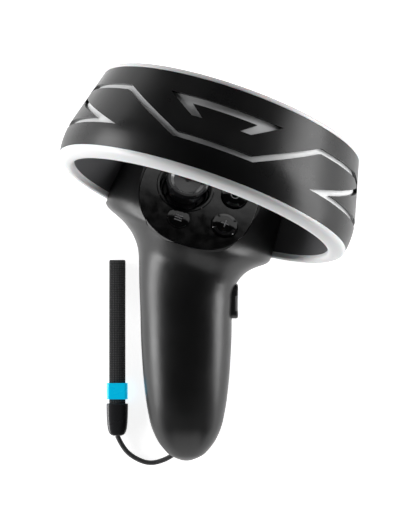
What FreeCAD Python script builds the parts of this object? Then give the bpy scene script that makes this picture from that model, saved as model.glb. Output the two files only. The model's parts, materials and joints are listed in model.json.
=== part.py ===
import FreeCAD, Part
import math
import os

import Sketcher

"""A left-hand motion controller lying on its back, with its wrist strap laid out beside it.

Millimetres, +Z up from the table. +Y runs from the handle's end to the tracking ring, and +X is
the right side of someone looking at the thumb controls. The origin is under the middle of the
controller, at table height.

Four frames place everything. The grip frame follows the tilted handle. The head frame is turned
about the vertical, because the head is skewed to suit a left thumb. The ring frame has its Z along
the ring's axis and its Y towards the table, and the face frame has its Z out of the thumb plate.
"""

DIMENSIONS = [
    ("centre_x", 10.255, "handle axis to the middle of the controller"),
    ("centre_y", 83.819, "axis origin to the middle of the controller"),
    ("head_yaw", 19.2, "degrees that head and ring turn about the vertical"),
    ("head_x", -32.7, "head's centre plane, along the head's own X"),
    ("grip_tilt", 15.0, "degrees that the handle climbs towards the head"),
    ("grip_foot_y", -1.9, "tip of the handle along Y"),
    ("grip_foot_z", 7.15, "height of the handle's axis at its tip"),
    ("grip_half_width", 20.1, "widest half width of the handle"),
    ("grip_front", 17.0, "axis to the handle's front"),
    ("grip_rear", 15.0, "axis to the handle's back"),
    ("wall", 2.2, "moulded wall"),
    ("seam", 0.15, "gap between mouldings"),
    ("ring_tilt", 10.0, "degrees that the ring's axis dips"),
    ("ring_x", 4.7, "ring centre"),
    ("ring_y", 104.8, "ring centre"),
    ("ring_z", 67.15, "ring centre"),
    ("ring_radius", 65.2, "widest radius of the ring"),
    ("ring_belly", 31.0, "radius of the band's bulge, in section"),
    ("ring_belly_at", 14.0, "height of the widest radius"),
    ("ring_lean", 14.5, "degrees that the band leans in above the bulge"),
    ("ring_inner", 57.4, "inner radius at the lower rim"),
    ("ring_inner_lean", 6.7, "degrees that the inner wall leans in"),
    ("ring_low", 7.7, "top of the lower rim strip"),
    ("ring_high", 45.8, "foot of the upper rim strip"),
    ("ring_top", 47.7, "top of the ring"),
    ("ring_skin", 1.6, "skin of the ring's mouldings"),
    ("collar_half", 36.0, "half width of the collar that carries the ring"),
    ("collar_low", 2.6, "lower edge of the collar, along the ring's axis"),
    ("collar_high", 22.0, "upper edge of the collar"),
    ("groove_width", 2.4, "light line in the ring"),
    ("face_tilt", 31.0, "degrees that the face leans towards the ring"),
    ("face_u", 112.2, "plate centre along the head"),
    ("face_z", 39.0, "plate centre height"),
    ("plate_half", 26.1, "half width of the plate"),
    ("plate_down", 27.8, "plate centre to its lower edge"),
    ("plate_up", 23.5, "plate centre to its upper edge"),
    ("plate_thick", 2.0, "plate"),
    ("stick_x", -6.8, "thumbstick on the plate"),
    ("stick_y", 0.9, "thumbstick on the plate"),
    ("stick_pivot", 9.5, "depth of the stick's pivot under the plate"),
    ("bowl_radius", 12.8, "bowl round the stick"),
    ("skirt_radius", 11.0, "ball skirt of the stick"),
    ("stick_cap_radius", 9.3, "thumb cap"),
    ("gimbal_pin", 1.0, "gimbal pin radius"),
    ("pin_gap", 0.05, "radial running gap of a pin"),
    ("button_radius", 5.8, "the two round buttons"),
    ("button_x", 14.9, "the two round buttons"),
    ("lower_button_y", -11.5, "lower round button"),
    ("upper_button_y", 4.1, "upper round button"),
    ("menu_radius", 4.9, "flat menu button"),
    ("menu_x", -5.1, "menu button"),
    ("menu_y", -15.6, "menu button"),
    ("button_gap", 0.3, "gap round a button"),
    ("board_depth", 6.9, "thumb board under the plate's front"),
    ("board_thick", 1.2, "circuit boards"),
    ("cell_radius", 7.1, "battery cell"),
    ("cell_length", 49.2, "battery cell without its nub"),
    ("nub_radius", 2.7, "battery nub"),
    ("nub_length", 1.2, "battery nub"),
    ("cell_spacing", 7.5, "cell axis from the handle's middle"),
    ("cell_start", 26.5, "lower end of the cells along the handle"),
    ("cell_rear", 1.5, "cell axes behind the handle's axis"),
    ("cover_half", 12.5, "battery cover"),
    ("cover_start", 19.0, "battery cover along the handle"),
    ("cover_end", 60.5, "battery cover along the handle"),
    ("trigger_y", 85.0, "trigger pivot"),
    ("trigger_z", 19.5, "trigger pivot"),
    ("trigger_yaw", 7.0, "degrees that the trigger turns about the vertical"),
    ("trigger_width", 13.0, "trigger"),
    ("pivot_radius", 1.25, "trigger pin"),
    ("pivot_length", 21.0, "trigger pin"),
    ("grip_key_length", 15.4, "grip button"),
    ("grip_key_width", 8.0, "grip button"),
    ("grip_key_reach", 23.0, "grip button's outer face from the handle's axis"),
    ("grip_key_at", 73.8, "grip button along the handle"),
    ("lanyard_radius", 1.1, "wrist cord"),
    ("strap_x", -31.3, "strap's middle"),
    ("strap_z", 2.35, "strap's middle above the table"),
    ("strap_width", 7.3, "webbing"),
    ("ply", 1.4, "one layer of webbing"),
    ("strap_start", 20.5, "webbing inside the cord end"),
    ("strap_end", 87.7, "fold of the webbing"),
    ("cord_end_start", 8.3, "cord end along Y"),
    ("cord_end_length", 14.5, "cord end"),
    ("cord_end_width", 9.7, "cord end"),
    ("slider_start", 24.8, "slider along Y"),
    ("slider_length", 7.3, "slider"),
    ("slider_width", 9.5, "slider"),
]

RING_POINTS = 24
# The head fills the ring this far past its inner wall.
BORE_GAP = 0.1

doc = FreeCAD.newDocument("motion_controller")
sheet = doc.addObject("Spreadsheet::Sheet", "Dims")
for row, (alias, number, note) in enumerate(DIMENSIONS, start=1):
    sheet.set(f"A{row}", alias)
    sheet.set(f"B{row}", str(number))
    sheet.setAlias(f"B{row}", alias)
    sheet.set(f"C{row}", note)
doc.recompute()

nodes = {}


def dim(alias):
    """A driving dimension, read from the sheet."""
    return float(sheet.get(alias))


def value(expression):
    """A sheet expression's number."""
    result = sheet.evalExpression(expression)
    return float(getattr(result, "Value", result))


def vec(x, y, z):
    return FreeCAD.Vector(x, y, z)


def frame(origin, x_axis, z_axis):
    """A Placement whose X and Z lie along two perpendicular unit vectors."""
    y_axis = z_axis.cross(x_axis)
    rows = []
    for k in range(3):
        rows += [x_axis[k], y_axis[k], z_axis[k], origin[k]]
    return FreeCAD.Placement(FreeCAD.Matrix(*rows, 0, 0, 0, 1))


def local(place, x=0.0, y=0.0, z=0.0, axis=(0, 0, 1), angle=0.0):
    """A Placement given in another frame."""
    turn = FreeCAD.Rotation(vec(*axis), angle)
    return place.multiply(FreeCAD.Placement(vec(x, y, z), turn))


# ---------------------------------------------------------------- frames

yaw = math.radians(dim("head_yaw"))
HEAD_X = vec(math.cos(yaw), -math.sin(yaw), 0)
HEAD_U = vec(math.sin(yaw), math.cos(yaw), 0)
UP = vec(0, 0, 1)
CENTRE = vec(dim("centre_x"), dim("centre_y"), 0)

tilt = math.radians(dim("grip_tilt"))
GRIP_AXIS = vec(0, math.cos(tilt), math.sin(tilt))
GRIP = frame(vec(0, dim("grip_foot_y"), dim("grip_foot_z")) - CENTRE, vec(1, 0, 0), GRIP_AXIS)

HEAD = frame(HEAD_X * dim("head_x") - CENTRE, HEAD_X, UP)

dip = math.radians(dim("ring_tilt"))
RING_AXIS = HEAD_U * math.cos(dip) - UP * math.sin(dip)
RING_CENTRE = vec(dim("ring_x"), dim("ring_y"), dim("ring_z"))
RING = frame(RING_CENTRE - CENTRE, HEAD_X, RING_AXIS)
RING_OFFSET = dim("head_x") - RING_CENTRE.dot(HEAD_X)

lean = math.radians(dim("face_tilt"))
FACE_NORMAL = UP * math.cos(lean) + HEAD_U * math.sin(lean)
FACE_CENTRE = HEAD_X * dim("head_x") + HEAD_U * dim("face_u") + UP * dim("face_z")
FACE = frame(FACE_CENTRE - CENTRE, HEAD_X, FACE_NORMAL)

turn = math.radians(dim("trigger_yaw"))
TRIGGER_X = vec(math.cos(turn), -math.sin(turn), 0)
TRIGGER_PIVOT = vec(0, dim("trigger_y"), dim("trigger_z")) - CENTRE
TRIGGER = frame(TRIGGER_PIVOT, TRIGGER_X, UP)


# ---------------------------------------------------------------- helpers


def keep(label, obj):
    """Registers an object as a sub-part under its own name."""
    obj.Label = label
    nodes[label] = obj
    return obj


def feature(name, shape, place=None):
    """A shape that no parametric feature makes."""
    obj = doc.addObject("Part::Feature", name)
    obj.Shape = shape
    if place is not None:
        obj.Placement = place
    return obj


def primitive(kind, name, place, **sizes):
    """A Part primitive whose sizes are sheet expressions."""
    obj = doc.addObject("Part::" + kind, name)
    for size, expression in sizes.items():
        obj.setExpression(size, expression)
    obj.Placement = place
    return obj


def cut(name, base, tool):
    obj = doc.addObject("Part::Cut", name)
    obj.Base = base
    obj.Tool = tool
    return obj


def fuse(name, shapes):
    obj = doc.addObject("Part::MultiFuse", name)
    obj.Shapes = shapes
    return obj


def group(name, shapes):
    """Separate solids kept in one sub-part."""
    obj = doc.addObject("Part::Compound", name)
    obj.Links = shapes
    return obj


def common(name, base, tool):
    obj = doc.addObject("Part::Common", name)
    obj.Base = base
    obj.Tool = tool
    return obj


def attach(body, role):
    sketch = body.newObject("Sketcher::SketchObject", body.Name + "_sketch")
    plane = [item for item in body.Origin.OriginFeatures if item.Role == role][0]
    sketch.AttachmentSupport = (plane, "")
    sketch.MapMode = "FlatFace"
    return sketch


def pin_corner(sketch, index, axis, expression):
    """Holds one coordinate of a corner at a sheet expression."""
    number = value(expression)
    if abs(number) < 1e-9:
        line = -2 if axis == "X" else -1
        sketch.addConstraint(Sketcher.Constraint("PointOnObject", index, 1, line))
        return
    made = sketch.addConstraint(
        Sketcher.Constraint("Distance" + axis, -1, 1, index, 1, number)
    )
    sketch.setExpression(f"Constraints[{made}]", expression)


def outline(body, role, corners):
    """A closed polygon whose corners are pairs of sheet expressions."""
    sketch = attach(body, role)
    points = [vec(value(a), value(b), 0) for a, b in corners]
    count = len(points)
    for k in range(count):
        sketch.addGeometry(Part.LineSegment(points[k], points[(k + 1) % count]))
    for k in range(count):
        sketch.addConstraint(Sketcher.Constraint("Coincident", k, 2, (k + 1) % count, 1))
    for k, (a, b) in enumerate(corners):
        pin_corner(sketch, k, "X", a)
        pin_corner(sketch, k, "Y", b)
    return sketch


def revolved(label, place, corners):
    """A turned body: radius and height pairs, turned about the frame's Z."""
    body = doc.addObject("PartDesign::Body", label)
    sketch = outline(body, "XZ_Plane", corners)
    turned = body.newObject("PartDesign::Revolution", label + "_turned")
    turned.Profile = sketch
    turned.ReferenceAxis = (sketch, ["V_Axis"])
    turned.Angle = 360
    body.Placement = place
    return body


def padded(label, place, corners, length, role="XY_Plane", both=False):
    """A prism on an outline, with a thickness from the sheet."""
    body = doc.addObject("PartDesign::Body", label)
    sketch = outline(body, role, corners)
    pad = body.newObject("PartDesign::Pad", label + "_pad")
    pad.Profile = sketch
    pad.setExpression("Length", length)
    pad.Midplane = both
    body.Placement = place
    return body


def box_at(name, place, low, high):
    """A plain box between two corners of a frame."""
    size = [b - a for a, b in zip(low, high)]
    return feature(name, Part.makeBox(*size, vec(*low)), place)


# ---------------------------------------------------------------- grip and head hull


def closed_spline(points):
    """A closed smooth curve, with the same knots for every curve of as many points."""
    curve = Part.BSplineCurve()
    curve.interpolate(Points=points, PeriodicFlag=True, Parameters=list(range(len(points) + 1)))
    return curve


def closed_curve(points):
    return Part.Wire([closed_spline(points).toShape()])


def skinned(sections, distances):
    """A solid over closed sections of as many points, smooth in both directions."""
    curves = [closed_spline(points) for points in sections]
    rows = [curve.getPoles() for curve in curves]
    lengthwise = []
    for poles in zip(*rows):
        spine = Part.BSplineCurve()
        spine.interpolate(Points=list(poles), Parameters=distances)
        lengthwise.append(spine)
    surface = Part.BSplineSurface()
    surface.buildFromPolesMultsKnots(
        [spine.getPoles() for spine in lengthwise],
        curves[0].getMultiplicities(),
        lengthwise[0].getMultiplicities(),
        curves[0].getKnots(),
        lengthwise[0].getKnots(),
        True,
        False,
        curves[0].Degree,
        lengthwise[0].Degree,
    )
    side = surface.toShape()
    caps = []
    for points in (sections[0], sections[-1]):
        middle = sum(points, vec(0, 0, 0)) * (1 / len(points))
        near = [e for e in side.Edges if (e.CenterOfMass - middle).Length < 2.0 and e.isClosed()]
        caps.append(Part.Face(Part.Wire([near[0]])))
    shell = Part.makeShell([side] + caps)
    shell.sewShape()
    solid = Part.makeSolid(shell)
    if solid.Volume < 0:
        solid.reverse()
    return solid


def oval_points(centre, heading, climb, half_width, front, rear, power):
    """A closed super-elliptic section across the hull at a heading and a climb, in degrees."""
    a, b = math.radians(heading), math.radians(climb)
    across = vec(math.cos(a), -math.sin(a), 0)
    along = vec(math.sin(a) * math.cos(b), math.cos(a) * math.cos(b), math.sin(b))
    upward = across.cross(along)
    points = []
    for k in range(RING_POINTS):
        angle = 2 * math.pi * k / RING_POINTS
        c, s = math.cos(angle), math.sin(angle)
        reach = (abs(c) ** power + abs(s) ** power) ** (-1 / power)
        depth = front if s > 0 else rear
        points.append(centre + across * (half_width * c * reach) + upward * (depth * s * reach))
    return points


# Handle: distance along its axis, then half width, front and rear as fractions of the largest.
GRIP_STATIONS = [
    (0.1, 0.16, 0.15, 0.17),
    (2.1, 0.355, 0.31, 0.34),
    (5.3, 0.515, 0.45, 0.49),
    (9.4, 0.652, 0.57, 0.61),
    (16.7, 0.797, 0.735, 0.78),
    (31.1, 0.917, 0.90, 0.94),
    (45.2, 0.975, 0.965, 1.0),
    (59.5, 1.005, 0.99, 0.965),
    (68.2, 1.01, 1.0, 0.86),
]

# Neck and head: place along the head, side shift, half width, then the heights of the top, of
# the widest level and of the bottom, and the roundness of the section.
HEAD_STATIONS = [
    (80.0, 5.3, 23.0, 47.6, 27.0, 13.6, 2.1),
    (86.0, 4.1, 26.6, 52.2, 26.0, 12.6, 2.0),
    (90.0, 2.9, 31.6, 55.0, 24.0, 8.6, 1.85),
    (93.4, 0.9, 37.6, 56.8, 21.0, 4.0, 1.75),
    (98.0, 0.0, 39.4, 55.6, 19.0, -1.0, 1.8),
    (112.0, 0.0, 39.0, 49.2, 14.0, -8.0, 1.95),
    (127.0, 0.0, 38.6, 34.0, 9.0, -8.0, 2.0),
    (133.0, 0.0, 36.0, 27.4, 7.0, -8.0, 2.0),
    (136.5, 0.0, 31.0, 20.0, 5.0, -6.0, 2.0),
    (138.6, 0.0, 24.0, 12.0, 4.0, -3.0, 2.0),
]

NECK = {"y": 74.0, "z": 26.6, "heading": 8.0, "climb": 9.0, "half": 20.9, "front": 17.6, "rear": 12.6}


def hull_stations():
    """Every section of the hull: centre, heading, climb, half width, front, rear and roundness."""
    stations = []
    for at, wide, front, rear in GRIP_STATIONS:
        centre = vec(0, dim("grip_foot_y"), dim("grip_foot_z")) + GRIP_AXIS * at
        sizes = (
            dim("grip_half_width") * wide,
            dim("grip_front") * front,
            dim("grip_rear") * rear,
        )
        stations.append((*centre, 0.0, dim("grip_tilt"), *sizes, 2.2))
    stations.append(
        (
            *(0.0, NECK["y"], NECK["z"]),
            NECK["heading"],
            NECK["climb"],
            NECK["half"],
            NECK["front"],
            NECK["rear"],
            2.15,
        )
    )
    for u, shift, half, top, level, bottom, power in HEAD_STATIONS:
        centre = HEAD_X * (dim("head_x") + shift) + HEAD_U * u + UP * level
        stations.append((*centre, dim("head_yaw"), 0.0, half, top - level, level - bottom, power))
    return stations


def monotone(xs, ys, x):
    """A smooth curve through points that never overshoots them."""
    count = len(xs)
    slopes = [(ys[k + 1] - ys[k]) / (xs[k + 1] - xs[k]) for k in range(count - 1)]
    grades = [slopes[0]]
    for a, b in zip(slopes, slopes[1:]):
        grades.append(0.0 if a * b <= 0 else 2 * a * b / (a + b))
    grades.append(slopes[-1])
    k = max(i for i in range(count - 1) if xs[i] <= x or i == 0)
    width = xs[k + 1] - xs[k]
    t = (x - xs[k]) / width
    return (
        ys[k] * (1 + 2 * t) * (1 - t) ** 2
        + grades[k] * width * t * (1 - t) ** 2
        + ys[k + 1] * t * t * (3 - 2 * t)
        + grades[k + 1] * width * t * t * (t - 1)
    )


def hull(inset):
    """The whole moulded body as one smooth loft, drawn in by a wall where inset isn't zero."""
    stations = hull_stations()
    distances = [0.0]
    for a, b in zip(stations, stations[1:]):
        distances.append(distances[-1] + math.dist(a[:3], b[:3]))
    first = 1.2 * inset
    steps = [first, first + 0.8, first + 2.2, first + 4.6, first + 8.0]
    count = 36
    while len(steps) < count + 5:
        steps.append(steps[4] + (distances[-1] - steps[4]) * (len(steps) - 4) / count)
    sections = []
    for at in steps:
        x, y, z, heading, climb, half, front, rear, power = [
            monotone(distances, [station[k] for station in stations], at) for k in range(9)
        ]
        centre = vec(x, y, z) - CENTRE
        sections.append(
            oval_points(centre, heading, climb, half - inset, front - inset, rear - inset, power)
        )
    return skinned(sections, steps)


def band_radius(height):
    """Outer radius of the ring at a height along its axis."""
    belly, lean_angle = dim("ring_belly"), math.radians(dim("ring_lean"))
    core = dim("ring_radius") - belly
    turn_over = dim("ring_belly_at") + belly * math.sin(lean_angle)
    if height < turn_over:
        return core + math.sqrt(belly**2 - (height - dim("ring_belly_at")) ** 2)
    return core + belly * math.cos(lean_angle) - (height - turn_over) * math.tan(lean_angle)


def inner_radius(height):
    """Inner radius of the ring at a height along its axis."""
    return dim("ring_inner") - (height - dim("ring_low")) * math.tan(math.radians(dim("ring_inner_lean")))


def heights(low, high, steps=7):
    return [low + (high - low) * k / steps for k in range(steps + 1)]


def profile_edge(radius_at, low, high, offset=0.0):
    """A smooth section curve of the ring between two heights."""
    points = [vec(radius_at(at) + offset, 0, at) for at in heights(low, high)]
    curve = Part.BSplineCurve()
    curve.interpolate(points)
    return curve.toShape()


def turned_band(outer, inner):
    """A ring between two section curves, turned about the frame's Z."""
    a0, a1 = outer.Vertexes[0].Point, outer.Vertexes[-1].Point
    b0, b1 = inner.Vertexes[0].Point, inner.Vertexes[-1].Point
    wire = Part.Wire([outer, Part.makeLine(a1, b1), inner, Part.makeLine(b0, a0)])
    return Part.Face(Part.Wire(Part.sortEdges(wire.Edges)[0])).revolve(vec(0, 0, 0), vec(0, 0, 1), 360)


def turned_core(radius_at, low, high, offset=0.0):
    """A solid of revolution from the axis out to a section curve."""
    axis = Part.makeLine(vec(0, 0, low), vec(0, 0, high))
    return turned_band(profile_edge(radius_at, low, high, offset), axis)


def in_ring(shape):
    """A shape moved from the ring frame to the model."""
    moved = shape.copy()
    moved.Placement = RING
    return moved


def collar_zone(grow, low, high):
    """The block of the ring that belongs to the collar, in the ring frame."""
    half = dim("collar_half") + grow
    return Part.makeBox(2 * half, 100, high - low, vec(RING_OFFSET - half, 0, low))


def far_block(low, high):
    return Part.makeCylinder(160, high - low, vec(0, 0, low))


collar_low, collar_high = dim("collar_low"), dim("collar_high")
wall, seam = dim("wall"), dim("seam")
tall = dim("ring_high") - 1.9

inner_room = turned_core(inner_radius, collar_low, tall, -BORE_GAP)
collar_solid = turned_core(band_radius, collar_low, collar_high).common(
    collar_zone(0.0, collar_low, collar_high)
)
below_ring = far_block(-200, collar_low)
allowed = in_ring(below_ring.fuse([inner_room, collar_solid]))

above_face = Part.makeBox(200, 200, 80, vec(-100, -100, 0))
above_face.Placement = FACE
solid_body = hull(0.0).common(allowed).cut(above_face)

cavity_core = turned_core(band_radius, 0.0, collar_high - wall, -wall)
cavity_upper = turned_core(inner_radius, collar_high - wall, dim("ring_high") - 4.9, -BORE_GAP)
cavity_allowed = in_ring(far_block(-200, 0.0).fuse([cavity_core, cavity_upper]))
under_ledge = Part.makeBox(200, 200, 80, vec(-100, -100, -2.1 * dim("plate_thick")))
under_ledge.Placement = FACE
cavity = hull(wall).common(cavity_allowed).cut(under_ledge)
skin = solid_body.cut(cavity)


def behind_joint():
    """Everything behind the joint line between the two shells."""
    joint = [
        (-60.0, dim("grip_foot_z") - math.tan(tilt) * 58.1),
        (66.0, dim("grip_foot_z") + math.tan(tilt) * 67.9),
        (84.0, 25.4),
        (130.0, 25.4),
    ]
    # The line runs just under the handle's axis, clear of the flank's own seam.
    points = [vec(-150, y, z - seam) for y, z in joint]
    points += [vec(-150, 130.0, -150.0), vec(-150, -60.0, -150.0)]
    points = [point - CENTRE for point in points]
    wire = Part.makePolygon(points + [points[0]])
    return Part.Face(wire).extrude(vec(300, 0, 0))


# The back shell takes what lies below the joint line, and the collar.
collar_ring = far_block(collar_low, collar_high).cut(turned_core(inner_radius, 0.0, tall, seam))
rear_zone = behind_joint().common(in_ring(below_ring)).fuse(in_ring(collar_ring))
rear_shape = skin.common(rear_zone)
front_shape = skin.cut(rear_shape)
if abs(front_shape.Volume + rear_shape.Volume - skin.Volume) > 0.01 * skin.Volume:
    raise RuntimeError("the casing did not divide into its two shells")

# ---------------------------------------------------------------- face plate outline


def plate_wire(inset, level):
    """The plate's rounded outline, drawn in by an inset, at a level of the face frame."""
    points = []
    power = 2.3
    for k in range(RING_POINTS):
        angle = 2 * math.pi * k / RING_POINTS
        c, s = math.cos(angle), math.sin(angle)
        reach = (abs(c) ** power + abs(s) ** power) ** (-1 / power)
        half = dim("plate_half") - inset
        tall_side = (dim("plate_up") if s > 0 else dim("plate_down")) - inset
        points.append(vec(half * c * reach, tall_side * s * reach, level))
    return closed_curve(points)


def plate_prism(inset, low, high):
    return Part.Face(plate_wire(inset, low)).extrude(vec(0, 0, high - low))


def in_face(shape):
    moved = shape.copy()
    moved.Placement = FACE
    return moved


plate_thick = dim("plate_thick")
pocket = in_face(plate_prism(-seam, -plate_thick - 0.1, 10.0))
window = in_face(plate_prism(1.8, -30.0, 0.0))


# ---------------------------------------------------------------- openings in the shells

# Grip button: a slot through the right flank.
KEY_HALF = dim("grip_key_length") / 2
KEY_WIDE = dim("grip_key_width") / 2
KEY_GAP = 0.35


def flank_key(grow, low_x, high_x, half_length=None):
    """A rounded bar that points out of the right flank, in the grip frame."""
    half = (KEY_HALF if half_length is None else half_length) + grow
    wide = KEY_WIDE + grow
    bar = Part.makeBox(high_x - low_x, 2 * wide, 2 * half, vec(low_x, -wide, dim("grip_key_at") - half))
    edges = [e for e in bar.Edges if abs(e.tangentAt(e.FirstParameter).x) > 0.99]
    return bar.makeFillet(min(wide, half) * 0.8, edges)


def in_grip(shape):
    moved = shape.copy()
    moved.Placement = GRIP
    return moved


key_slot = in_grip(flank_key(KEY_GAP, 12.0, 40.0))

# Trigger mouth: a slot in the back of the neck.
trigger_half = dim("trigger_width") / 2
mouth = Part.makeBox(2 * trigger_half + 1.6, 16.0, 26.0, vec(-trigger_half - 0.8, -11.5, -26.0))
mouth.Placement = TRIGGER

# Bumper: a window in the collar's outer wall.
BUMPER_HALF = 10.0
BUMPER_LOW, BUMPER_HIGH = 5.0, 12.5


def bumper_window(grow):
    half = BUMPER_HALF + grow
    tall_side = BUMPER_HIGH - BUMPER_LOW + 2 * grow
    return Part.makeBox(2 * half, 40, tall_side, vec(RING_OFFSET - half, 40, BUMPER_LOW - grow))


# Battery cover: a lid in the back of the handle.
def cover_block(grow):
    half = dim("cover_half") + grow
    start, end = dim("cover_start") - grow, dim("cover_end") + grow
    return Part.makeBox(2 * half, 40, end - start, vec(-half, 3.0 - grow, start))


# Wrist cord recess at the handle's tip: a pocket from behind, crossed by a bar.
RECESS_AT = 5.6
BAR_REAR = 3.4
BAR_HALF = 7.2
recess = Part.makeCylinder(3.3, 14.0, vec(0, 0.6, RECESS_AT), vec(0, 1, 0))

# The wrist cord's route, from the anchor bar to the cord end.
CORD_ROUTE = [
    (0.6, 4.2, 4.9),
    (-4.0, 1.2, 2.6),
    (-9.4, -2.6, 1.25),
    (-16.6, -4.6, 1.15),
    (-23.6, -2.0, 1.15),
    (-28.8, 2.6, 1.6),
    (dim("strap_x"), dim("cord_end_start"), dim("strap_z")),
]

# Screws through the back shell.
SCREW_PLACES = [(0.0, 14.2, 9.3), (-12.5, 81.5, 10.7), (12.5, 81.5, 10.7)]


def screw_parts(radius, length, head_radius, head_rise):
    shapes = []
    for x, at, rear in SCREW_PLACES:
        shank = Part.makeCylinder(radius, length, vec(x, rear, at), vec(0, -1, 0))
        head = Part.makeCylinder(head_radius, head_rise, vec(x, rear, at), vec(0, 1, 0))
        shapes.append(shank.fuse(head))
    return shapes


front_cuts = [pocket, window, key_slot]
front_shape = front_shape.cut(front_cuts)
screw_holes = [in_grip(s) for s in screw_parts(1.3, 12.0, 2.3, 20.0)]
rear_cuts = [key_slot, mouth, in_ring(bumper_window(0.35)), in_grip(cover_block(seam)), in_grip(recess)]
cord_start, cord_out = [vec(*CORD_ROUTE[k]) - CENTRE for k in (0, 2)]
cord_run = cord_out - cord_start
cord_channel = Part.makeCylinder(dim("lanyard_radius") + 0.75, cord_run.Length, cord_start, cord_run)
rear_full = rear_shape
bar_seat = Part.makeCylinder(0.9, 2 * BAR_HALF, vec(-BAR_HALF, BAR_REAR, RECESS_AT), vec(1, 0, 0))
rear_shape = rear_shape.cut(rear_cuts + screw_holes + [cord_channel, in_grip(bar_seat)])


def largest(shape):
    """The biggest solid, so that slivers left by a cut are dropped."""
    return max(shape.Solids, key=lambda solid: solid.Volume)


keep("front_shell", feature("front_shell", largest(front_shape)))
keep("rear_shell", feature("rear_shell", largest(rear_shape)))
cover_shape = rear_full.common(in_grip(cover_block(0.0)))
keep("battery_cover", feature("battery_cover", largest(cover_shape)))

# ---------------------------------------------------------------- ring


SLIVER = 15.0


def ring_piece(label, shape):
    """A ring moulding with the collar's block taken out. The grooves part it into islands."""
    low = -20.0
    trimmed = shape.cut(collar_zone(seam, low, collar_high + seam))
    islands = [solid for solid in trimmed.Solids if solid.Volume > SLIVER]
    whole = islands[0] if len(islands) == 1 else Part.makeCompound(islands)
    print(label, "islands", [round(solid.Volume) for solid in trimmed.Solids])
    return keep(label, feature(label, whole, RING))


skin_thick = dim("ring_skin")
ring_low, ring_high, ring_top = dim("ring_low"), dim("ring_high"), dim("ring_top")


def on_band(angle, height, offset):
    """A point on the ring's outer surface. The angle runs right from the thumb side."""
    a = math.radians(angle) + math.asin(RING_OFFSET / dim("ring_radius"))
    radius = band_radius(height) + offset
    return vec(radius * math.sin(a), -radius * math.cos(a), height)


def bar_edge(start, end, offset):
    points = [
        on_band(start[0] + (end[0] - start[0]) * k / 8, start[1] + (end[1] - start[1]) * k / 8, offset)
        for k in range(9)
    ]
    curve = Part.BSplineCurve()
    curve.interpolate(points)
    return curve.toShape()


def curved_bar(left0, right0, left1, right1):
    """A cutter for a light line: four corners on the band, through the skin."""
    out, inn = 2.0, -skin_thick - 0.6
    outer_left, outer_right = bar_edge(left0, left1, out), bar_edge(right0, right1, out)
    inner_left, inner_right = bar_edge(left0, left1, inn), bar_edge(right0, right1, inn)
    caps = []
    for left, right in ((left0, right0), (left1, right1)):
        caps.append(Part.makeRuledSurface(bar_edge(left, right, out), bar_edge(left, right, inn)))
    faces = [
        Part.makeRuledSurface(outer_left, outer_right),
        Part.makeRuledSurface(inner_left, inner_right),
        Part.makeRuledSurface(outer_left, inner_left),
        Part.makeRuledSurface(outer_right, inner_right),
    ] + caps
    shell = Part.makeShell(faces)
    shell.sewShape()
    solid = Part.makeSolid(shell)
    if solid.Volume < 0:
        solid.reverse()
    return solid


MM_PER_DEGREE = math.radians(dim("ring_radius") - 3.0)


def stroke(line, width):
    """Cutters for a line of constant width with mitred corners."""
    flat = [(a * MM_PER_DEGREE, b) for a, b in line]
    sides = []
    for k in range(len(flat)):
        before = flat[max(k - 1, 0)]
        here = flat[k]
        after = flat[min(k + 1, len(flat) - 1)]
        directions = []
        for p, q in ((before, here), (here, after)):
            length = math.hypot(q[0] - p[0], q[1] - p[1])
            if length > 1e-9:
                directions.append(((q[0] - p[0]) / length, (q[1] - p[1]) / length))
        d0, d1 = directions[0], directions[-1]
        normal = (-(d0[1] + d1[1]), d0[0] + d1[0])
        size = math.hypot(*normal)
        normal = (normal[0] / size, normal[1] / size)
        reach = (width / 2) / (normal[0] * -d0[1] + normal[1] * d0[0])
        offset = (normal[0] * reach, normal[1] * reach)
        left = ((here[0] + offset[0]) / MM_PER_DEGREE, here[1] + offset[1])
        right = ((here[0] - offset[0]) / MM_PER_DEGREE, here[1] - offset[1])
        sides.append((left, right))
    return [curved_bar(*sides[k], *sides[k + 1]) for k in range(len(sides) - 1)]


def mirror(line):
    return [(-a, b) for a, b in line]


# Angles in degrees from the middle of the thumb side, and heights on the band.
ZIGZAG = [(15.0, 19.0), (43.5, 35.6), (74.0, 36.6), (80.5, 35.0), (82.0, 32.6), (46.5, 18.8), (104.0, 18.8)]
BACK_LINE = [(104.0, 18.8), (124.0, 33.5), (160.0, 33.5)]
right_line = [(0.0, 19.0)] + ZIGZAG + BACK_LINE[1:] + [(180.0, 33.5)]
BRACKET_TIP, BRACKET_TOP, BRACKET_BAR = 23.8, 37.1, 33.8
LEG_OUT, LEG_IN, LEG_FOOT, BAR_IN = 11.8, 7.4, 28.7, 13.2


def bracket():
    """The upper bracket of the light pattern: a bar with two slanted legs."""
    bar = curved_bar(
        (-BRACKET_TIP, BRACKET_TOP), (-BAR_IN, BRACKET_BAR), (BRACKET_TIP, BRACKET_TOP), (BAR_IN, BRACKET_BAR)
    )
    legs = []
    for side in (-1, 1):
        legs.append(
            curved_bar(
                (side * BRACKET_TIP, BRACKET_TOP),
                (side * BAR_IN, BRACKET_BAR),
                (side * LEG_OUT, LEG_FOOT),
                (side * LEG_IN, LEG_FOOT),
            )
        )
    return [bar] + legs


band_skin = turned_band(
    profile_edge(band_radius, ring_low + seam, ring_high - seam),
    profile_edge(band_radius, ring_low + seam, ring_high - seam, -skin_thick),
)
groove_width = dim("groove_width")
grooves = stroke(right_line, groove_width) + stroke(mirror(right_line), groove_width) + bracket()
ring_piece("ring_outer_shell", band_skin.cut(grooves))

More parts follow.
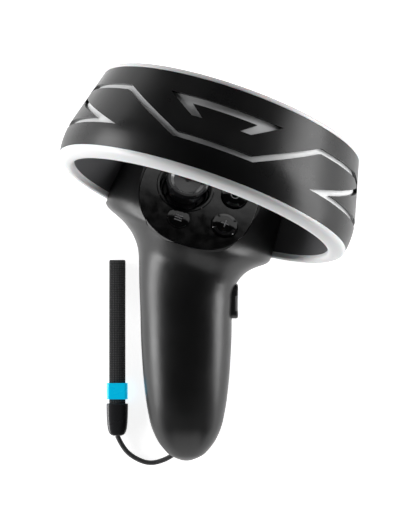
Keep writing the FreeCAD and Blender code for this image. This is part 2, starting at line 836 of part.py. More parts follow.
guide_gap = skin_thick + 0.1
ring_piece(
    "ring_light_guide",
    turned_band(
        profile_edge(band_radius, ring_low + 1.3, ring_high - 1.3, -guide_gap),
        profile_edge(band_radius, ring_low + 1.3, ring_high - 1.3, -guide_gap - 1.2),
    ),
)
ring_piece(
    "ring_inner_shell",
    turned_band(
        profile_edge(inner_radius, ring_low - 1.2, ring_high - seam, skin_thick),
        profile_edge(inner_radius, ring_low - 1.2, ring_high - seam),
    ),
)

strip_outer = band_radius(ring_low)
strip_inner = inner_radius(ring_low)


def turned_outline(points, straight):
    """A ring from a section whose lip is a smooth curve and whose back is straight."""
    curve = Part.BSplineCurve()
    curve.interpolate([vec(r, 0, z) for r, z in points])
    ends = [vec(*points[-1][:1], 0, points[-1][1])] + [vec(r, 0, z) for r, z in straight]
    ends.append(vec(points[0][0], 0, points[0][1]))
    edges = [curve.toShape()] + [Part.makeLine(a, b) for a, b in zip(ends, ends[1:])]
    return Part.Face(Part.Wire(edges)).revolve(vec(0, 0, 0), vec(0, 0, 1), 360)


lip = [
    (strip_outer, ring_low),
    (strip_outer - 0.7, ring_low - 1.8),
    (strip_outer - 2.6, ring_low - 3.2),
    (strip_outer - 5.0, ring_low - 3.9),
    (strip_inner + 0.8, ring_low - 3.6),
    (strip_inner + 0.05, ring_low - 2.6),
    (strip_inner, ring_low - 1.4),
]
lip_back = [(strip_inner + 2.2, ring_low - 1.4), (strip_inner + 2.2, ring_low)]
front_in_ring = nodes["front_shell"].Shape.copy()
front_in_ring.Placement = RING.inverse().multiply(front_in_ring.Placement)
ring_piece("lower_rim_strip", turned_outline(lip, lip_back).cut(front_in_ring))

top_outer, top_inner = band_radius(ring_high), inner_radius(ring_high)
crown_outer = Part.BSplineCurve()
crown_outer.interpolate(
    Points=[vec(top_outer, 0, ring_high), vec(top_outer - 0.35, 0, ring_top - 0.7), vec(top_outer - 1.2, 0, ring_top)],
    InitialTangent=vec(0, 0, 1),
    FinalTangent=vec(-1, 0, 0),
)
crown_inner = Part.BSplineCurve()
crown_inner.interpolate(
    Points=[vec(top_inner + 0.8, 0, ring_top), vec(top_inner + 0.25, 0, ring_top - 0.6), vec(top_inner, 0, ring_high)],
    InitialTangent=vec(-1, 0, 0),
    FinalTangent=vec(0, 0, -1),
)
crown_edges = [
    crown_outer.toShape(),
    Part.makeLine(vec(top_outer - 1.2, 0, ring_top), vec(top_inner + 0.8, 0, ring_top)),
    crown_inner.toShape(),
    Part.makeLine(vec(top_inner, 0, ring_high), vec(top_outer, 0, ring_high)),
]
crown = Part.Face(Part.Wire(crown_edges)).revolve(vec(0, 0, 0), vec(0, 0, 1), 360)
keep("upper_rim_strip", feature("upper_rim_strip", crown, RING))

# A flexible strip of infrared lights behind the light guide.
flex_low, flex_high = 15.0, 26.0
flex_back = guide_gap + 2.6
flex = turned_band(
    profile_edge(band_radius, flex_low, flex_high, -flex_back),
    profile_edge(band_radius, flex_low, flex_high, -flex_back - 0.35),
)
LAMP_COUNT = 20
LAMP_ANGLE = 270.0 / (LAMP_COUNT - 1)
lamps = []
for k in range(LAMP_COUNT):
    angle = -135.0 + LAMP_ANGLE * k
    lamp = Part.makeBox(3.2, 0.9, 2.6, vec(-1.6, 0.1, -1.3))
    radius = band_radius(20.5) - flex_back + 0.05
    lamp.Placement = FreeCAD.Placement(
        vec(radius * math.sin(math.radians(angle)), -radius * math.cos(math.radians(angle)), 20.5),
        FreeCAD.Rotation(vec(0, 0, 1), 180 + angle),
    )
    lamps.append(lamp)
keep("ring_lamps", feature("ring_lamps", Part.makeCompound(lamps), RING))
ring_piece("ring_light_strip", flex.cut(lamps))

# ---------------------------------------------------------------- face plate and thumb controls

plate = plate_prism(0.0, -plate_thick, -0.05)
edge_round = [e for e in plate.Edges if abs(e.BoundBox.ZMin + 0.05) < 1e-3 and e.Length > 20]
plate = plate.makeFillet(0.35, edge_round)
plate_blank = feature("plate_blank", plate, FACE)
hole_depth = "Dims.plate_thick * 3"


def plate_hole(name, x, y, radius):
    place = local(FACE, x, y, -2 * plate_thick)
    return primitive("Cylinder", name, place, Radius=radius, Height=hole_depth)


stick_x, stick_y = dim("stick_x"), dim("stick_y")
button_x = dim("button_x")
BUTTONS = {
    "button_lower": (button_x, dim("lower_button_y"), "Dims.button_radius"),
    "button_upper": (button_x, dim("upper_button_y"), "Dims.button_radius"),
    "button_menu": (dim("menu_x"), dim("menu_y"), "Dims.menu_radius"),
}
plate_holes = [plate_hole("bowl_hole", stick_x, stick_y, "Dims.bowl_radius - 0.6")]
for label, (x, y, radius) in BUTTONS.items():
    plate_holes.append(plate_hole(label + "_hole", x, y, radius + " + Dims.button_gap"))
keep("face_plate", cut("face_plate", plate_blank, fuse("plate_holes", plate_holes)))

PIVOT = local(FACE, stick_x, stick_y, -dim("stick_pivot"))
BOWL = local(FACE, stick_x, stick_y, 0)
bowl_blank = revolved(
    "bowl_blank",
    BOWL,
    [
        ("Dims.bowl_radius - 0.75", "-Dims.plate_thick - 2.6"),
        ("Dims.bowl_radius - 0.75", "0"),
        ("Dims.bowl_radius", "0"),
        ("Dims.bowl_radius - 0.35", "0.35"),
        ("Dims.bowl_radius - 1.2", "0.35"),
        ("Dims.bowl_radius - 2.4", "-1.6"),
        ("Dims.bowl_radius - 3.4", "-2.6"),
        ("Dims.bowl_radius - 3.4", "-Dims.plate_thick - 2.6"),
    ],
)
bowl_ball = primitive("Sphere", "bowl_ball", PIVOT, Radius="Dims.skirt_radius + 0.45")
menu_place = local(FACE, dim("menu_x"), dim("menu_y"), -8)
menu_room = primitive("Cylinder", "menu_room", menu_place, Radius="Dims.menu_radius + 0.7", Height="6")
menu_neck = primitive("Cylinder", "menu_neck", menu_place, Radius="Dims.menu_radius + Dims.button_gap", Height="12")
bowl_cuts = fuse("bowl_cuts", [bowl_ball, menu_room, menu_neck])
keep("stick_bowl", cut("stick_bowl", bowl_blank, bowl_cuts))

# Thumb cap: a dished disc on a hollow stem, with a ball skirt under it.
CAP_FOOT, CAP_TOP = 3.8, 6.4
cap_turned = revolved(
    "cap_turned",
    BOWL,
    [
        ("0", "-4.6"),
        ("3", "-4.6"),
        ("3", f"{CAP_FOOT}"),
        ("Dims.stick_cap_radius - 1.2", f"{CAP_FOOT}"),
        ("Dims.stick_cap_radius", f"{CAP_FOOT + 0.9}"),
        ("Dims.stick_cap_radius", f"{CAP_TOP - 0.6}"),
        ("Dims.stick_cap_radius - 0.7", f"{CAP_TOP}"),
        ("Dims.stick_cap_radius - 1.8", f"{CAP_TOP}"),
        ("Dims.stick_cap_radius - 3.2", f"{CAP_TOP - 0.9}"),
        ("0", f"{CAP_TOP - 1.3}"),
    ],
)
skirt_outer = primitive("Sphere", "skirt_outer", PIVOT, Radius="Dims.skirt_radius")
skirt_inner = primitive("Sphere", "skirt_inner", PIVOT, Radius="Dims.skirt_radius - 1")
skirt_ball = cut("skirt_ball", skirt_outer, skirt_inner)
SKIRT_RISE = 7.4
skirt_top = primitive(
    "Cylinder",
    "skirt_top",
    local(PIVOT, 0, 0, SKIRT_RISE),
    Radius="Dims.skirt_radius * 2",
    Height="Dims.skirt_radius",
)
skirt = common("skirt", skirt_ball, skirt_top)
cap_solid = fuse("cap_solid", [cap_turned, skirt])
stem_bore = primitive("Cylinder", "stem_bore", local(BOWL, 0, 0, -5.0), Radius="1.9 + Dims.pin_gap", Height="6.2")
keep("stick_cap", cut("stick_cap", cap_solid, stem_bore))

# Gimbal: a post with pins along the face's Y, inside a yoke with pins along its X.
core_block = primitive("Box", "core_block", local(PIVOT, -3.4, -3.4, -2.0), Length="6.8", Width="6.8", Height="4")
core_post = primitive("Cylinder", "core_post", PIVOT, Radius="1.9", Height="Dims.stick_pivot - 0.8")
core_pins = primitive(
    "Cylinder",
    "core_pins",
    local(PIVOT, 0, 6.2, 0, (1, 0, 0), 90),
    Radius="Dims.gimbal_pin",
    Height="12.4",
)
keep("stick_core", fuse("stick_core", [core_block, core_post, core_pins]))

yoke_block = primitive("Box", "yoke_block", local(PIVOT, -6.4, -6.6, -1.9), Length="12.8", Width="13.2", Height="3.8")
yoke_room = primitive("Box", "yoke_room", local(PIVOT, -4.2, -3.8, -4.0), Length="8.4", Width="7.6", Height="8")
yoke_bore = primitive(
    "Cylinder",
    "yoke_bore",
    local(PIVOT, 0, 8.0, 0, (1, 0, 0), 90),
    Radius="Dims.gimbal_pin + Dims.pin_gap",
    Height="16",
)
yoke_frame = cut("yoke_frame", yoke_block, fuse("yoke_cuts", [yoke_room, yoke_bore]))
yoke_pins = []
for side in (-1, 1):
    start = 6.2 if side > 0 else -8.6
    pin_place = local(PIVOT, start, 0, 0, (0, 1, 0), 90)
    yoke_pins.append(
        primitive("Cylinder", f"yoke_pin_{side + 1}", pin_place, Radius="Dims.gimbal_pin", Height="2.4")
    )
keep("stick_yoke", fuse("stick_yoke", [yoke_frame] + yoke_pins))

# Stick base: a floor with two cheeks that hold the yoke's pins.
base_floor = primitive("Box", "base_floor", local(PIVOT, -9.2, -6.5, -7.0), Length="18.4", Width="13", Height="1.4")
cheeks = []
for side in (-1, 1):
    start = 7.2 if side > 0 else -9.2
    cheeks.append(
        primitive("Box", f"cheek_{side + 1}", local(PIVOT, start, -2.6, -5.8), Length="2", Width="5.2", Height="8.0")
    )
base_solid = fuse("base_solid", [base_floor] + cheeks)
base_bore = primitive(
    "Cylinder",
    "base_bore",
    local(PIVOT, -12, 0, 0, (0, 1, 0), 90),
    Radius="Dims.gimbal_pin + Dims.pin_gap",
    Height="24",
)
keep("stick_base", cut("stick_base", base_solid, base_bore))

BUTTON_FOOT, FLANGE_TOP = 4.7, 2.25
for label, (x, y, radius) in BUTTONS.items():
    domed = label != "button_menu"
    rise = 1.9 if domed else 0.45
    shoulder = 0.7 if domed else 0.15
    flange = " + 0.9" if domed else " + 0.5"
    corners = [
        ("0", f"-{BUTTON_FOOT}"),
        ("1.6", f"-{BUTTON_FOOT}"),
        ("1.6", "-3.1"),
        (radius + flange, "-3.1"),
        (radius + flange, f"-{FLANGE_TOP}"),
        (radius, f"-{FLANGE_TOP}"),
        (radius, f"{shoulder}"),
        (radius + " * 0.93", f"{(shoulder * 2 + rise) / 3}"),
        (radius + " * 0.72", f"{rise * 0.78}"),
        (radius + " * 0.4", f"{rise * 0.95}"),
        ("0", f"{rise}"),
    ]
    keep(label, revolved(label, local(FACE, x, y), corners))

# Thumb board with a hole for the stick, and a dome switch under each button.
board_low = -dim("board_depth") - dim("board_thick")
board_shape = plate_prism(4.6, board_low, -dim("board_depth"))
stick_room = Part.makeBox(20.4, 15.2, 10, vec(stick_x - 10.2, stick_y - 7.6, board_low - 3))
upper_end = Part.makeBox(80, 40, 10, vec(-40, 14.0, board_low - 3))
keep("face_board", feature("face_board", board_shape.cut([stick_room, upper_end]), FACE))

switches = []
for label, (x, y, radius) in BUTTONS.items():
    place = local(FACE, x, y, -dim("board_depth"))
    can = primitive("Cylinder", label + "_can", place, Radius="2.6", Height="0.6")
    tip_place = local(FACE, x, y, -dim("board_depth") + 0.6)
    tip = primitive("Cone", label + "_tip", tip_place, Radius1="1.5", Radius2="0.9", Height="0.4")
    switches.append(fuse(label + "_switch", [can, tip]))
keep("button_switches", group("button_switches", switches))

# ---------------------------------------------------------------- electronics in the head

MAIN_LEVEL = 14.0
main_board = padded(
    "main_board",
    local(HEAD, 0, 0, MAIN_LEVEL),
    [("-15", "94"), ("15", "94"), ("18", "98"), ("18", "110"), ("14", "116"), ("-14", "116"), ("-18", "110"), ("-18", "98")],
    "Dims.board_thick",
)
keep("main_board", main_board)
CHIPS = [(-8.0, 101.0, 9.0, 9.0, 1.4), (6.0, 98.0, 6.0, 5.0, 1.0), (8.0, 108.0, 7.0, 7.0, 1.2), (-10.0, 111.5, 4.0, 4.0, 0.9)]
chips = []
for k, (x, u, long_side, wide_side, rise) in enumerate(CHIPS):
    place = local(HEAD, x - long_side / 2, u - wide_side / 2, MAIN_LEVEL + dim("board_thick"))
    chips.append(
        primitive("Box", f"chip_{k}", place, Length=f"{long_side}", Width=f"{wide_side}", Height=f"{rise}")
    )
keep("board_chips", group("board_chips", chips))
motor = primitive(
    "Cylinder", "rumble_motor", local(HEAD, 9.5, 104.0, MAIN_LEVEL - 3.6), Radius="4.6", Height="3.2"
)
keep("rumble_motor", motor)

# ---------------------------------------------------------------- batteries

cell_corners = [
    ("0", "0"),
    ("Dims.cell_radius - 0.5", "0"),
    ("Dims.cell_radius", "0.5"),
    ("Dims.cell_radius", "Dims.cell_length - 0.6"),
    ("Dims.cell_radius - 0.6", "Dims.cell_length"),
    ("Dims.nub_radius", "Dims.cell_length"),
    ("Dims.nub_radius", "Dims.cell_length + Dims.nub_length"),
    ("0", "Dims.cell_length + Dims.nub_length"),
]
cell_start, cell_rear = dim("cell_start"), dim("cell_rear")
spacing = dim("cell_spacing")
cell_full = dim("cell_length") + dim("nub_length")
left_cell = local(GRIP, -spacing, cell_rear, cell_start)
right_cell = local(GRIP, spacing, cell_rear, cell_start + cell_full, (1, 0, 0), 180)
keep("battery_left", revolved("battery_left", left_cell, cell_corners))
keep("battery_right", revolved("battery_right", right_cell, cell_corners))

tray_low, tray_high = cell_start - 2.6, cell_start + cell_full + 2.4
tray_block = Part.makeBox(60, 10.0, tray_high - tray_low, vec(-30, cell_rear - 9.2, tray_low))
tray_room = hull(wall + 0.4)
cell_grooves = [
    Part.makeCylinder(
        dim("cell_radius") + 0.15, cell_full + 0.4, vec(side * spacing, cell_rear, cell_start - 0.2), vec(0, 0, 1)
    )
    for side in (-1, 1)
]
end_gaps = []
for side in (-1, 1):
    for start in (cell_start - 2.0, cell_start + cell_full):
        end_gaps.append(Part.makeCylinder(5.2, 2.0, vec(side * spacing, cell_rear, start), vec(0, 0, 1)))
key_side = Part.makeBox(20, 40, 40, vec(11.4, -20, dim("grip_key_at") - KEY_HALF - 1.5))
tray_cuts = cell_grooves + end_gaps + [key_side]
tray_shape = in_grip(tray_block).common(tray_room).cut([in_grip(s) for s in tray_cuts])
keep("battery_tray", feature("battery_tray", largest(tray_shape)))


def coil(radius_low, radius_high, turns, pitch, wire_radius):
    """A round-wire coil standing on the frame's origin, along its Z."""
    steps = 12
    points = []
    for k in range(int(turns * steps) + 1):
        angle = 2 * math.pi * k / steps
        ratio = k / (turns * steps)
        radius = radius_low + (radius_high - radius_low) * ratio
        points.append(vec(radius * math.cos(angle), radius * math.sin(angle), pitch * turns * ratio))
    spine = Part.BSplineCurve()
    spine.interpolate(points)
    path = Part.Wire([spine.toShape()])
    start = points[0]
    direction = spine.tangent(spine.FirstParameter)[0]
    ring_edge = Part.makeCircle(wire_radius, start, direction)
    return path.makePipeShell([Part.Wire([ring_edge])], True, True)


# A coil at each cell's flat end and a plate at each nub.
spring_shape = coil(4.2, 2.6, 2.0, 0.58, 0.26)
springs = []
for place in (local(GRIP, -spacing, cell_rear, cell_start - 0.35, (1, 0, 0), 180),
              local(GRIP, spacing, cell_rear, cell_start + cell_full + 0.35)):
    moved = spring_shape.copy()
    moved.Placement = place
    springs.append(moved)
keep("contact_springs", feature("contact_springs", Part.makeCompound(springs)))
contact_places = (
    local(GRIP, -spacing - 3.5, cell_rear - 3.5, cell_start + cell_full + 0.1),
    local(GRIP, spacing - 3.5, cell_rear - 3.5, cell_start - 0.5),
)
contacts = [
    primitive("Box", f"contact_{k}", place, Length="7", Width="7", Height="0.4")
    for k, place in enumerate(contact_places)
]
keep("contact_plates", group("contact_plates", contacts))

# ---------------------------------------------------------------- fasteners and anchor bar

screws = [in_grip(s) for s in screw_parts(1.2, 7.0, 2.1, 1.3)]
slots = [in_grip(Part.makeBox(2.6, 0.8, 0.5, vec(x - 1.3, rear + 0.7, at - 0.25))) for x, at, rear in SCREW_PLACES]
keep("shell_screws", feature("shell_screws", Part.makeCompound([s.cut(slots) for s in screws])))
bar = primitive(
    "Cylinder",
    "lanyard_bar",
    local(GRIP, -BAR_HALF, BAR_REAR, RECESS_AT, (0, 1, 0), 90),
    Radius="0.9",
    Height=f"{2 * BAR_HALF}",
)
keep("lanyard_bar", bar)

# ---------------------------------------------------------------- trigger

# Side view of the trigger about its pivot: along the neck, then up.
blade_side = [
    vec(0, 2.6, 3.0),
    vec(0, 3.0, -1.5),
    vec(0, 1.8, -8.5),
    vec(0, -1.5, -11.6),
    vec(0, -7.0, -12.6),
    vec(0, -13.0, -13.8),
    vec(0, -18.2, -16.4),
    vec(0, -20.0, -16.3),
    vec(0, -19.4, -13.6),
    vec(0, -14.5, -10.2),
    vec(0, -8.0, -8.6),
    vec(0, -4.0, -6.2),
    vec(0, -2.9, -1.0),
    vec(0, -2.2, 2.6),
]


def drawn_in(points, amount):
    """A flat outline in the YZ plane with every point moved inwards."""
    moved = []
    count = len(points)
    for k in range(count):
        along = points[(k + 1) % count] - points[k - 1]
        along.normalize()
        moved.append(points[k] + along.cross(vec(1, 0, 0)) * -amount)
    return moved


BLADE_SIDES = [(0.0, 1.2), (0.35, 0.5), (1.2, 0.0), (trigger_half, 0.0)]
blade_stations = [(-trigger_half + x, inset) for x, inset in BLADE_SIDES]
blade_stations += [(-x, inset) for x, inset in reversed(blade_stations[:-1])]
blade = skinned(
    [[point + vec(x, 0, 0) for point in drawn_in(blade_side, inset)] for x, inset in blade_stations],
    [x for x, inset in blade_stations],
)
pivot_bore = Part.makeCylinder(
    dim("pivot_radius") + dim("pin_gap"), 60, vec(-30, 0, 0), vec(1, 0, 0)
)
magnet_hole = Part.makeCylinder(1.6, 3.0, vec(-1.5, -1.0, -7.0), vec(1, 0, 0))
keep("trigger", feature("trigger", blade.cut([pivot_bore, magnet_hole]), TRIGGER))
magnet = primitive(
    "Cylinder", "trigger_magnet", local(TRIGGER, -1.4, -1.0, -7.0, (0, 1, 0), 90), Radius="1.5", Height="2.8"
)
keep("trigger_magnet", magnet)
pin = primitive(
    "Cylinder",
    "trigger_pin",
    local(TRIGGER, -dim("pivot_length") / 2, 0, 0, (0, 1, 0), 90),
    Radius="Dims.pivot_radius",
    Height="Dims.pivot_length",
)
keep("trigger_pin", pin)
bracket_cheeks = []
for side in (-1, 1):
    start = trigger_half + 1.4 if side > 0 else -trigger_half - 2.8
    bracket_cheeks.append(
        primitive("Box", f"bracket_{side + 1}", local(TRIGGER, start, -3, -3), Length="1.4", Width="6", Height="9")
    )
bracket_top = primitive(
    "Box",
    "bracket_top",
    local(TRIGGER, -trigger_half - 2.8, -3, 4.8),
    Length="Dims.trigger_width + 5.6",
    Width="6",
    Height="1.2",
)
bracket_bore = primitive(
    "Cylinder",
    "bracket_bore",
    local(TRIGGER, -20, 0, 0, (0, 1, 0), 90),
    Radius="Dims.pivot_radius + 0.02",
    Height="40",
)
bracket_solid = fuse("bracket_solid", bracket_cheeks + [bracket_top])
bracket_bored = cut("bracket_bored", bracket_solid, bracket_bore)
doc.recompute()
bracket_shape = bracket_bored.Shape.cut(nodes["rear_shell"].Shape)
keep("trigger_bracket", feature("trigger_bracket", largest(bracket_shape)))
trigger_coil = coil(2.1, 2.1, 2.5, 0.38, 0.14)
trigger_coil.Placement = local(TRIGGER, trigger_half + 0.2, 0, 0, (0, 1, 0), 90)
keep("trigger_spring", feature("trigger_spring", trigger_coil))

# ---------------------------------------------------------------- bumper and grip button

bumper_low, bumper_high = BUMPER_LOW, BUMPER_HIGH
bumper_ring = turned_band(
    profile_edge(band_radius, bumper_low, bumper_high, 0.45),
    profile_edge(band_radius, bumper_low, bumper_high, -2.8),
)
keep("bumper", feature("bumper", largest(bumper_ring.common(bumper_window(0.0))), RING))
bumper_face = band_radius(9.0) - 2.8
keep(
    "bumper_switch",
    box_at(
        "bumper_switch",
        RING,
        (RING_OFFSET - 3.0, bumper_face - 3.9, 7.0),
        (RING_OFFSET + 3.0, bumper_face - 1.5, 11.0),
    ),
)

KEY_INNER = 16.2
key_reach = dim("grip_key_reach")
key_bar = flank_key(0.0, KEY_INNER, key_reach)
key_edges = [e for e in key_bar.Edges if e.BoundBox.XMin > key_reach - 1e-3]
key_bar = key_bar.makeFillet(0.9, key_edges)
inlay_half = 3.5
inlay_zone = Part.makeBox(1.4, 20, 2 * inlay_half, vec(key_reach - 1.4, -10, dim("grip_key_at") - inlay_half))
keep("grip_button", feature("grip_button", key_bar.cut(inlay_zone), GRIP))
keep("grip_inlay", feature("grip_inlay", key_bar.common(inlay_zone), GRIP))
keep(
    "grip_switch",
    box_at(
        "grip_switch",
        GRIP,
        (KEY_INNER - 3.3, -3.0, dim("grip_key_at") + 3.7),
        (KEY_INNER - 1.8, 3.0, dim("grip_key_at") + 7.7),
    ),
)

# ---------------------------------------------------------------- wrist cord and strap

def cord_path(route):
    """Straight runs joined by tangent arcs, with the arcs as large as their runs allow."""
    points = [vec(*p) - CENTRE for p in route]
    edges = []
    radii = []
    start = points[0]
    for k in range(1, len(points) - 1):
        into, out = points[k] - points[k - 1], points[k + 1] - points[k]
        trim = 0.45 * min(into.Length, out.Length)
        turn_angle = into.getAngle(out)
        radii.append(trim / math.tan(turn_angle / 2))
        into.normalize()
        out.normalize()
        a, b = points[k] - into * trim, points[k] + out * trim
        half_way = (a + b) * 0.5
        radius = radii[-1]
        to_centre = half_way - points[k]
        centre_distance = math.hypot(radius, trim)
        to_centre.normalize()
        middle = points[k] + to_centre * (centre_distance - radius)
        edges.append(Part.LineSegment(start, a).toShape())
        edges.append(Part.Arc(a, middle, b).toShape())
        start = b
    edges.append(Part.LineSegment(start, points[-1]).toShape())
    print("cord arc radii", [round(r, 1) for r in radii])
    return Part.Wire(edges)


cord_spine = cord_path(CORD_ROUTE)
first, last = vec(*CORD_ROUTE[0]) - CENTRE, vec(*CORD_ROUTE[1]) - CENTRE
cord_section = Part.Wire([Part.makeCircle(dim("lanyard_radius"), first, last - first)])
cord_tube = cord_spine.makePipeShell([cord_section], True, True)
ideal = math.pi * dim("lanyard_radius") ** 2 * cord_spine.Length
print("cord length", round(cord_spine.Length, 2), "volume ratio", round(cord_tube.Volume / ideal, 4))
keep("lanyard_cord", feature("lanyard_cord", cord_tube))

strap_x, strap_z = dim("strap_x"), dim("strap_z")


def flat_oval(y, half_width, half_thick, level):
    centre = vec(strap_x, y, level) - CENTRE
    return Part.Wire([closed_spline(oval_points(centre, 0.0, 0.0, half_width, half_thick, half_thick, 2.3)).toShape()])


end_start, end_length = dim("cord_end_start"), dim("cord_end_length")
end_half = dim("cord_end_width") / 2
END_SHAPE = [(0.0, 0.36, 0.62), (0.2, 0.62, 0.8), (0.5, 0.86, 0.95), (0.8, 0.99, 1.0), (1.0, 1.0, 1.0)]
end_thick = strap_z
cord_end = Part.makeLoft(
    [
        flat_oval(end_start + end_length * s, end_half * wide, end_thick * deep, strap_z)
        for s, wide, deep in END_SHAPE
    ],
    True,
    False,
)
pocket_half = dim("strap_width") / 2 + 0.05
ply = dim("ply")
stack = ply + 0.05
mouth_length = end_start + end_length - dim("strap_start")
strap_pocket = Part.makeBox(
    2 * pocket_half,
    mouth_length + 1,
    2 * stack + 0.1,
    vec(strap_x - pocket_half, dim("strap_start"), strap_z - stack - 0.05) - CENTRE,
)
keep("cord_end", feature("cord_end", cord_end.cut(strap_pocket)))


def strap_level(y):
    """Height of the strap's middle: level under the slider, settling to the table at its end."""
    settle = min(max((y - 60.0) / 24.0, 0.0), 1.0)
    drop = strap_z - stack - 0.02
    return strap_z - drop * settle * settle * (3 - 2 * settle)


def strap_curve(offset):
    end = dim("strap_end") - stack
    points = []
    for k in range(12):
        y = dim("strap_start") + 0.1 + (end - dim("strap_start") - 0.1) * k / 11
        points.append(vec(strap_x, y, strap_level(y) + offset) - CENTRE)
    curve = Part.BSplineCurve()
    curve.interpolate(points)
    return curve.toShape()


low_out, low_in, high_in, high_out = [strap_curve(k) for k in (-stack, -0.05, 0.05, stack)]


def end_of(edge, last_point):
    ends = sorted((v.Point for v in edge.Vertexes), key=lambda p: p.y)
    return ends[-1] if last_point else ends[0]


def fold(a, b):
    middle = (a + b) * 0.5 + vec(0, (b - a).Length / 2, 0)
    return Part.Arc(a, middle, b).toShape()


strap_edges = [
    low_out,
    fold(end_of(low_out, True), end_of(high_out, True)),
    high_out,
    Part.makeLine(end_of(high_out, False), end_of(high_in, False)),
    high_in,
    fold(end_of(low_in, True), end_of(high_in, True)),
    low_in,
    Part.makeLine(end_of(low_in, False), end_of(low_out, False)),
]
strap_face = Part.Face(Part.Wire(Part.sortEdges(strap_edges)[0]))
strap_face.translate(vec(-dim("strap_width") / 2, 0, 0))
keep("strap_webbing", feature("strap_webbing", strap_face.extrude(vec(dim("strap_width"), 0, 0))))

slider_half = dim("slider_width") / 2
slider_start, slider_length = dim("slider_start"), dim("slider_length")
slider_thick = 2 * strap_z
slider_blank = Part.makeBox(
    2 * slider_half, slider_length, slider_thick, vec(strap_x - slider_half, slider_start, 0) - CENTRE
)
long_edges = [e for e in slider_blank.Edges if abs(e.tangentAt(e.FirstParameter).y) > 0.99]
slider_blank = slider_blank.makeFillet(1.4, long_edges)
slot_half, slot_high = dim("strap_width") / 2 + 0.3, stack + 0.3
slider_slot = Part.makeBox(
    2 * slot_half,
    slider_length + 2,
    2 * slot_high,
    vec(strap_x - slot_half, slider_start - 1, strap_z - slot_high) - CENTRE,
)
keep("strap_slider", feature("strap_slider", slider_blank.cut(slider_slot)))

# ---------------------------------------------------------------- check and export

doc.recompute()
for obj in doc.Objects:
    if "Invalid" in obj.State or "Error" in obj.State:
        raise RuntimeError(f"{obj.Label} failed: {obj.State}")
low, high = vec(1e9, 1e9, 1e9), vec(-1e9, -1e9, -1e9)
strap_nodes = ("lanyard_cord", "cord_end", "strap_webbing", "strap_slider")
for label, obj in nodes.items():
    if obj.Shape.isNull() or not obj.Shape.isValid():
        raise RuntimeError(f"{label} has no valid shape")
    if label not in strap_nodes:
        box = obj.Shape.BoundBox
        low = vec(min(low.x, box.XMin), min(low.y, box.YMin), min(low.z, box.ZMin))
        high = vec(max(high.x, box.XMax), max(high.y, box.YMax), max(high.z, box.ZMax))
print("controller box", [round(c, 2) for c in low], [round(c, 2) for c in high])

os.makedirs("parts", exist_ok=True)
for label, obj in nodes.items():
    obj.Shape.exportStep(f"parts/{label}.step")
print(len(nodes), "sub-parts")
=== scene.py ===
import json
import math

import bpy
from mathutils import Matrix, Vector


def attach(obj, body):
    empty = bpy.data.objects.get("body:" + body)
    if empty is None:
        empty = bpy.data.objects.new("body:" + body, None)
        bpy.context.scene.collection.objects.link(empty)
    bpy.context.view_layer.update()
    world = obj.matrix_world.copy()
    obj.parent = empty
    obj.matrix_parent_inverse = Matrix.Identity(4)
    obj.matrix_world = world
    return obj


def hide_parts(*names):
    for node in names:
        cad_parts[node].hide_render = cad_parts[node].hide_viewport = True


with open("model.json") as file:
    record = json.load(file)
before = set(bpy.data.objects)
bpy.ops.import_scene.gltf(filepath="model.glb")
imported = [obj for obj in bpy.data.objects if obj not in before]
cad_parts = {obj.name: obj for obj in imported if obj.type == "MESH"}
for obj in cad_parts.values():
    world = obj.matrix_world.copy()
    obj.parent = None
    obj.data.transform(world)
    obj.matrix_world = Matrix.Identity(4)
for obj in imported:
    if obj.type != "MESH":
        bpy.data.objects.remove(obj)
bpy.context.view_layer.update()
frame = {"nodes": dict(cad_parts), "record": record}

MM = 0.001

# ---------------------------------------------------------------- frames of the part, in mm

MIDDLE = Vector((10.255, 83.819, 0.0))
HEAD_YAW = math.radians(19.2)
FACE_TILT = math.radians(31.0)
FACE_PLACE = (-32.7, 112.2, 39.0)
HEAD_X = Vector((math.cos(HEAD_YAW), -math.sin(HEAD_YAW), 0.0))
HEAD_U = Vector((math.sin(HEAD_YAW), math.cos(HEAD_YAW), 0.0))
UP = Vector((0.0, 0.0, 1.0))
FACE_Z = UP * math.cos(FACE_TILT) + HEAD_U * math.sin(FACE_TILT)
FACE_Y = FACE_Z.cross(HEAD_X)
FACE_CENTRE = HEAD_X * FACE_PLACE[0] + HEAD_U * FACE_PLACE[1] + UP * FACE_PLACE[2]


def from_part(x, y, z):
    """A point of the part's own frame, in metres in the shared frame."""
    return (Vector((x, y, z)) - MIDDLE) * MM


def on_face(x, y, z):
    """A point of the thumb plate's frame, in metres in the shared frame."""
    return from_part(*(FACE_CENTRE + HEAD_X * x + FACE_Y * y + FACE_Z * z))


# ---------------------------------------------------------------- materials


